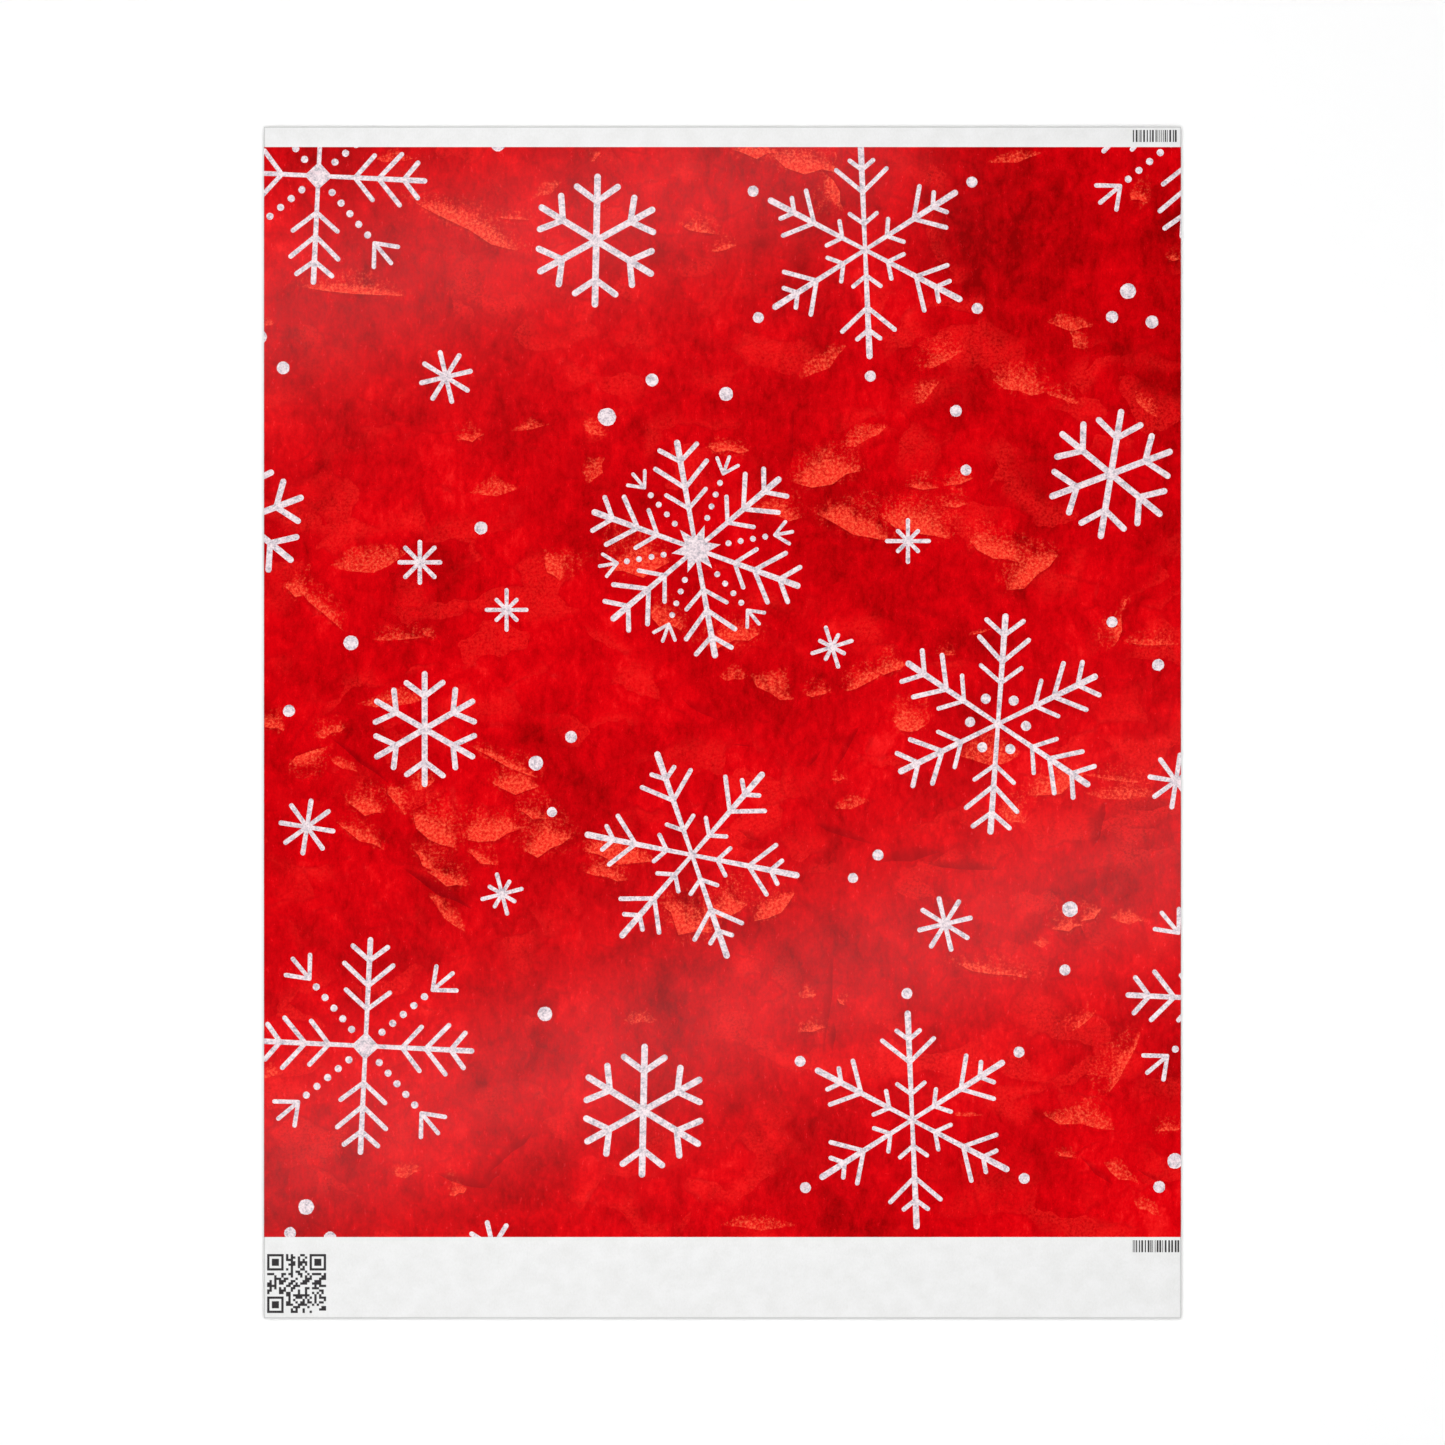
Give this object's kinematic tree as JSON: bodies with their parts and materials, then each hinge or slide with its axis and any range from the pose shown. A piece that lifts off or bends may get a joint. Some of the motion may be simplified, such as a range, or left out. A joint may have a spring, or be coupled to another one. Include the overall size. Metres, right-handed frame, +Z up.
{
  "type": "gift wrap sheet that rolls up",
  "caption": "Sheet of snowflake gift wrap with bare margins, lying flat, that rolls up across its width with the print outside.",
  "frame": {"origin": "under the middle of the flat sheet, on its back face", "axes": "+Z up through the printed face, +Y along the sheet to the print's top edge, X across the sheet, parallel to the roll"},
  "size_m": [0.762, 0.99, 0.0001],
  "materials": {
    "paper": "satin"
  },
  "bodies": {
    "bottom_margin": {"bottom_margin": "paper"},
    "rise_1": {"rise_1": "paper"},
    "rise_2": {"rise_2": "paper"},
    "lead_in": {"lead_in": "paper"},
    "wrap_01": {"wrap_01": "paper"},
    "wrap_02": {"wrap_02": "paper"},
    "wrap_03": {"wrap_03": "paper"},
    "wrap_04": {"wrap_04": "paper"},
    "wrap_05": {"wrap_05": "paper"},
    "wrap_06": {"wrap_06": "paper"},
    "wrap_07": {"wrap_07": "paper"},
    "wrap_08": {"wrap_08": "paper"},
    "wrap_09": {"wrap_09": "paper"},
    "wrap_10": {"wrap_10": "paper"},
    "wrap_11": {"wrap_11": "paper"},
    "wrap_12": {"wrap_12": "paper"},
    "wrap_13": {"wrap_13": "paper"},
    "wrap_14": {"wrap_14": "paper"},
    "wrap_15": {"wrap_15": "paper"},
    "wrap_16": {"wrap_16": "paper"},
    "wrap_17": {"wrap_17": "paper"},
    "wrap_18": {"wrap_18": "paper"},
    "wrap_19": {"wrap_19": "paper"},
    "wrap_20": {"wrap_20": "paper"},
    "wrap_21": {"wrap_21": "paper"},
    "wrap_22": {"wrap_22": "paper"},
    "wrap_23": {"wrap_23": "paper"},
    "wrap_24": {"wrap_24": "paper"},
    "wrap_25": {"wrap_25": "paper"},
    "wrap_26": {"wrap_26": "paper"},
    "wrap_27": {"wrap_27": "paper"},
    "wrap_28": {"wrap_28": "paper"},
    "wrap_29": {"wrap_29": "paper"},
    "wrap_30": {"wrap_30": "paper"},
    "wrap_31": {"wrap_31": "paper"},
    "wrap_32": {"wrap_32": "paper"},
    "wrap_33": {"wrap_33": "paper"},
    "wrap_34": {"wrap_34": "paper"},
    "wrap_35": {"wrap_35": "paper"},
    "wrap_36": {"wrap_36": "paper"},
    "wrap_37": {"wrap_37": "paper"},
    "wrap_38": {"wrap_38": "paper"},
    "wrap_39": {"wrap_39": "paper"},
    "wrap_40": {"wrap_40": "paper"},
    "wrap_41": {"wrap_41": "paper"},
    "wrap_42": {"wrap_42": "paper"},
    "wrap_43": {"wrap_43": "paper"},
    "wrap_44": {"wrap_44": "paper"},
    "wrap_45": {"wrap_45": "paper"},
    "wrap_46": {"wrap_46": "paper"},
    "wrap_47": {"wrap_47": "paper"},
    "wrap_48": {"wrap_48": "paper"}
  },
  "joints": [
    {"name": "rise_bend_1", "type": "hinge", "parent": "bottom_margin", "child": "rise_1", "pos_m": [0, -0.411, 0.00012], "axis": [1, 0, 0], "range_deg": [0, 12]},
    {"name": "rise_bend_2", "type": "hinge", "parent": "rise_1", "child": "rise_2", "pos_m": [0, -0.393, 0.00012], "axis": [1, 0, 0], "range_deg": [0, 12]},
    {"name": "rise_bend_3", "type": "hinge", "parent": "rise_2", "child": "lead_in", "pos_m": [0, -0.375, 0.00012], "axis": [1, 0, 0], "range_deg": [0, 12]},
    {"name": "roll_up", "type": "hinge", "parent": "lead_in", "child": "wrap_01", "pos_m": [0, -0.28156, 0], "axis": [-1, 0, 0], "range_deg": [0, 36]},
    {"name": "curl_02", "type": "hinge", "parent": "wrap_01", "child": "wrap_02", "pos_m": [0, -0.2628, 0], "axis": [-1, 0, 0], "range_deg": [0, 36]},
    {"name": "curl_03", "type": "hinge", "parent": "wrap_02", "child": "wrap_03", "pos_m": [0, -0.24415, 0], "axis": [-1, 0, 0], "range_deg": [0, 36]},
    {"name": "curl_04", "type": "hinge", "parent": "wrap_03", "child": "wrap_04", "pos_m": [0, -0.2256, 0], "axis": [-1, 0, 0], "range_deg": [0, 36]},
    {"name": "curl_05", "type": "hinge", "parent": "wrap_04", "child": "wrap_05", "pos_m": [0, -0.20717, 0], "axis": [-1, 0, 0], "range_deg": [0, 36]},
    {"name": "curl_06", "type": "hinge", "parent": "wrap_05", "child": "wrap_06", "pos_m": [0, -0.18885, 0], "axis": [-1, 0, 0], "range_deg": [0, 36]},
    {"name": "curl_07", "type": "hinge", "parent": "wrap_06", "child": "wrap_07", "pos_m": [0, -0.17063, 0], "axis": [-1, 0, 0], "range_deg": [0, 36]},
    {"name": "curl_08", "type": "hinge", "parent": "wrap_07", "child": "wrap_08", "pos_m": [0, -0.15253, 0], "axis": [-1, 0, 0], "range_deg": [0, 36]},
    {"name": "curl_09", "type": "hinge", "parent": "wrap_08", "child": "wrap_09", "pos_m": [0, -0.13454, 0], "axis": [-1, 0, 0], "range_deg": [0, 36]},
    {"name": "curl_10", "type": "hinge", "parent": "wrap_09", "child": "wrap_10", "pos_m": [0, -0.11665, 0], "axis": [-1, 0, 0], "range_deg": [0, 36]},
    {"name": "curl_11", "type": "hinge", "parent": "wrap_10", "child": "wrap_11", "pos_m": [0, -0.09888, 0], "axis": [-1, 0, 0], "range_deg": [0, 36]},
    {"name": "curl_12", "type": "hinge", "parent": "wrap_11", "child": "wrap_12", "pos_m": [0, -0.08122, 0], "axis": [-1, 0, 0], "range_deg": [0, 36]},
    {"name": "curl_13", "type": "hinge", "parent": "wrap_12", "child": "wrap_13", "pos_m": [0, -0.06366, 0], "axis": [-1, 0, 0], "range_deg": [0, 36]},
    {"name": "curl_14", "type": "hinge", "parent": "wrap_13", "child": "wrap_14", "pos_m": [0, -0.04622, 0], "axis": [-1, 0, 0], "range_deg": [0, 36]},
    {"name": "curl_15", "type": "hinge", "parent": "wrap_14", "child": "wrap_15", "pos_m": [0, -0.02888, 0], "axis": [-1, 0, 0], "range_deg": [0, 36]},
    {"name": "curl_16", "type": "hinge", "parent": "wrap_15", "child": "wrap_16", "pos_m": [0, -0.01166, 0], "axis": [-1, 0, 0], "range_deg": [0, 36]},
    {"name": "curl_17", "type": "hinge", "parent": "wrap_16", "child": "wrap_17", "pos_m": [0, 0.00545, 0], "axis": [-1, 0, 0], "range_deg": [0, 36]},
    {"name": "curl_18", "type": "hinge", "parent": "wrap_17", "child": "wrap_18", "pos_m": [0, 0.02246, 0], "axis": [-1, 0, 0], "range_deg": [0, 36]},
    {"name": "curl_19", "type": "hinge", "parent": "wrap_18", "child": "wrap_19", "pos_m": [0, 0.03935, 0], "axis": [-1, 0, 0], "range_deg": [0, 36]},
    {"name": "curl_20", "type": "hinge", "parent": "wrap_19", "child": "wrap_20", "pos_m": [0, 0.05613, 0], "axis": [-1, 0, 0], "range_deg": [0, 36]},
    {"name": "curl_21", "type": "hinge", "parent": "wrap_20", "child": "wrap_21", "pos_m": [0, 0.07281, 0], "axis": [-1, 0, 0], "range_deg": [0, 36]},
    {"name": "curl_22", "type": "hinge", "parent": "wrap_21", "child": "wrap_22", "pos_m": [0, 0.08937, 0], "axis": [-1, 0, 0], "range_deg": [0, 36]},
    {"name": "curl_23", "type": "hinge", "parent": "wrap_22", "child": "wrap_23", "pos_m": [0, 0.10582, 0], "axis": [-1, 0, 0], "range_deg": [0, 36]},
    {"name": "curl_24", "type": "hinge", "parent": "wrap_23", "child": "wrap_24", "pos_m": [0, 0.12217, 0], "axis": [-1, 0, 0], "range_deg": [0, 36]},
    {"name": "curl_25", "type": "hinge", "parent": "wrap_24", "child": "wrap_25", "pos_m": [0, 0.1384, 0], "axis": [-1, 0, 0], "range_deg": [0, 36]},
    {"name": "curl_26", "type": "hinge", "parent": "wrap_25", "child": "wrap_26", "pos_m": [0, 0.15452, 0], "axis": [-1, 0, 0], "range_deg": [0, 36]},
    {"name": "curl_27", "type": "hinge", "parent": "wrap_26", "child": "wrap_27", "pos_m": [0, 0.17054, 0], "axis": [-1, 0, 0], "range_deg": [0, 36]},
    {"name": "curl_28", "type": "hinge", "parent": "wrap_27", "child": "wrap_28", "pos_m": [0, 0.18644, 0], "axis": [-1, 0, 0], "range_deg": [0, 36]},
    {"name": "curl_29", "type": "hinge", "parent": "wrap_28", "child": "wrap_29", "pos_m": [0, 0.20223, 0], "axis": [-1, 0, 0], "range_deg": [0, 36]},
    {"name": "curl_30", "type": "hinge", "parent": "wrap_29", "child": "wrap_30", "pos_m": [0, 0.21792, 0], "axis": [-1, 0, 0], "range_deg": [0, 36]},
    {"name": "curl_31", "type": "hinge", "parent": "wrap_30", "child": "wrap_31", "pos_m": [0, 0.23349, 0], "axis": [-1, 0, 0], "range_deg": [0, 36]},
    {"name": "curl_32", "type": "hinge", "parent": "wrap_31", "child": "wrap_32", "pos_m": [0, 0.24895, 0], "axis": [-1, 0, 0], "range_deg": [0, 36]},
    {"name": "curl_33", "type": "hinge", "parent": "wrap_32", "child": "wrap_33", "pos_m": [0, 0.26431, 0], "axis": [-1, 0, 0], "range_deg": [0, 36]},
    {"name": "curl_34", "type": "hinge", "parent": "wrap_33", "child": "wrap_34", "pos_m": [0, 0.27955, 0], "axis": [-1, 0, 0], "range_deg": [0, 36]},
    {"name": "curl_35", "type": "hinge", "parent": "wrap_34", "child": "wrap_35", "pos_m": [0, 0.29468, 0], "axis": [-1, 0, 0], "range_deg": [0, 36]},
    {"name": "curl_36", "type": "hinge", "parent": "wrap_35", "child": "wrap_36", "pos_m": [0, 0.30971, 0], "axis": [-1, 0, 0], "range_deg": [0, 36]},
    {"name": "curl_37", "type": "hinge", "parent": "wrap_36", "child": "wrap_37", "pos_m": [0, 0.32462, 0], "axis": [-1, 0, 0], "range_deg": [0, 36]},
    {"name": "curl_38", "type": "hinge", "parent": "wrap_37", "child": "wrap_38", "pos_m": [0, 0.33942, 0], "axis": [-1, 0, 0], "range_deg": [0, 36]},
    {"name": "curl_39", "type": "hinge", "parent": "wrap_38", "child": "wrap_39", "pos_m": [0, 0.35412, 0], "axis": [-1, 0, 0], "range_deg": [0, 36]},
    {"name": "curl_40", "type": "hinge", "parent": "wrap_39", "child": "wrap_40", "pos_m": [0, 0.3687, 0], "axis": [-1, 0, 0], "range_deg": [0, 36]},
    {"name": "curl_41", "type": "hinge", "parent": "wrap_40", "child": "wrap_41", "pos_m": [0, 0.38317, 0], "axis": [-1, 0, 0], "range_deg": [0, 36]},
    {"name": "curl_42", "type": "hinge", "parent": "wrap_41", "child": "wrap_42", "pos_m": [0, 0.39754, 0], "axis": [-1, 0, 0], "range_deg": [0, 36]},
    {"name": "curl_43", "type": "hinge", "parent": "wrap_42", "child": "wrap_43", "pos_m": [0, 0.41179, 0], "axis": [-1, 0, 0], "range_deg": [0, 36]},
    {"name": "curl_44", "type": "hinge", "parent": "wrap_43", "child": "wrap_44", "pos_m": [0, 0.42593, 0], "axis": [-1, 0, 0], "range_deg": [0, 36]},
    {"name": "curl_45", "type": "hinge", "parent": "wrap_44", "child": "wrap_45", "pos_m": [0, 0.43997, 0], "axis": [-1, 0, 0], "range_deg": [0, 36]},
    {"name": "curl_46", "type": "hinge", "parent": "wrap_45", "child": "wrap_46", "pos_m": [0, 0.45389, 0], "axis": [-1, 0, 0], "range_deg": [0, 36]},
    {"name": "curl_47", "type": "hinge", "parent": "wrap_46", "child": "wrap_47", "pos_m": [0, 0.4677, 0], "axis": [-1, 0, 0], "range_deg": [0, 36]},
    {"name": "curl_48", "type": "hinge", "parent": "wrap_47", "child": "wrap_48", "pos_m": [0, 0.48141, 0], "axis": [-1, 0, 0], "range_deg": [0, 36]}
  ],
  "couplings": [
    {"joint": "rise_bend_1", "follows": "roll_up", "ratio": 0.33333},
    {"joint": "rise_bend_2", "follows": "roll_up", "ratio": 0.33333},
    {"joint": "rise_bend_3", "follows": "roll_up", "ratio": 0.33333},
    {"joint": "curl_02", "follows": "roll_up", "ratio": 1},
    {"joint": "curl_03", "follows": "roll_up", "ratio": 1},
    {"joint": "curl_04", "follows": "roll_up", "ratio": 1},
    {"joint": "curl_05", "follows": "roll_up", "ratio": 1},
    {"joint": "curl_06", "follows": "roll_up", "ratio": 1},
    {"joint": "curl_07", "follows": "roll_up", "ratio": 1},
    {"joint": "curl_08", "follows": "roll_up", "ratio": 1},
    {"joint": "curl_09", "follows": "roll_up", "ratio": 1},
    {"joint": "curl_10", "follows": "roll_up", "ratio": 1},
    {"joint": "curl_11", "follows": "roll_up", "ratio": 1},
    {"joint": "curl_12", "follows": "roll_up", "ratio": 1},
    {"joint": "curl_13", "follows": "roll_up", "ratio": 1},
    {"joint": "curl_14", "follows": "roll_up", "ratio": 1},
    {"joint": "curl_15", "follows": "roll_up", "ratio": 1},
    {"joint": "curl_16", "follows": "roll_up", "ratio": 1},
    {"joint": "curl_17", "follows": "roll_up", "ratio": 1},
    {"joint": "curl_18", "follows": "roll_up", "ratio": 1},
    {"joint": "curl_19", "follows": "roll_up", "ratio": 1},
    {"joint": "curl_20", "follows": "roll_up", "ratio": 1},
    {"joint": "curl_21", "follows": "roll_up", "ratio": 1},
    {"joint": "curl_22", "follows": "roll_up", "ratio": 1},
    {"joint": "curl_23", "follows": "roll_up", "ratio": 1},
    {"joint": "curl_24", "follows": "roll_up", "ratio": 1},
    {"joint": "curl_25", "follows": "roll_up", "ratio": 1},
    {"joint": "curl_26", "follows": "roll_up", "ratio": 1},
    {"joint": "curl_27", "follows": "roll_up", "ratio": 1},
    {"joint": "curl_28", "follows": "roll_up", "ratio": 1},
    {"joint": "curl_29", "follows": "roll_up", "ratio": 1},
    {"joint": "curl_30", "follows": "roll_up", "ratio": 1},
    {"joint": "curl_31", "follows": "roll_up", "ratio": 1},
    {"joint": "curl_32", "follows": "roll_up", "ratio": 1},
    {"joint": "curl_33", "follows": "roll_up", "ratio": 1},
    {"joint": "curl_34", "follows": "roll_up", "ratio": 1},
    {"joint": "curl_35", "follows": "roll_up", "ratio": 1},
    {"joint": "curl_36", "follows": "roll_up", "ratio": 1},
    {"joint": "curl_37", "follows": "roll_up", "ratio": 1},
    {"joint": "curl_38", "follows": "roll_up", "ratio": 1},
    {"joint": "curl_39", "follows": "roll_up", "ratio": 1},
    {"joint": "curl_40", "follows": "roll_up", "ratio": 1},
    {"joint": "curl_41", "follows": "roll_up", "ratio": 1},
    {"joint": "curl_42", "follows": "roll_up", "ratio": 1},
    {"joint": "curl_43", "follows": "roll_up", "ratio": 1},
    {"joint": "curl_44", "follows": "roll_up", "ratio": 1},
    {"joint": "curl_45", "follows": "roll_up", "ratio": 1},
    {"joint": "curl_46", "follows": "roll_up", "ratio": 1},
    {"joint": "curl_47", "follows": "roll_up", "ratio": 1},
    {"joint": "curl_48", "follows": "roll_up", "ratio": 1}
  ]
}
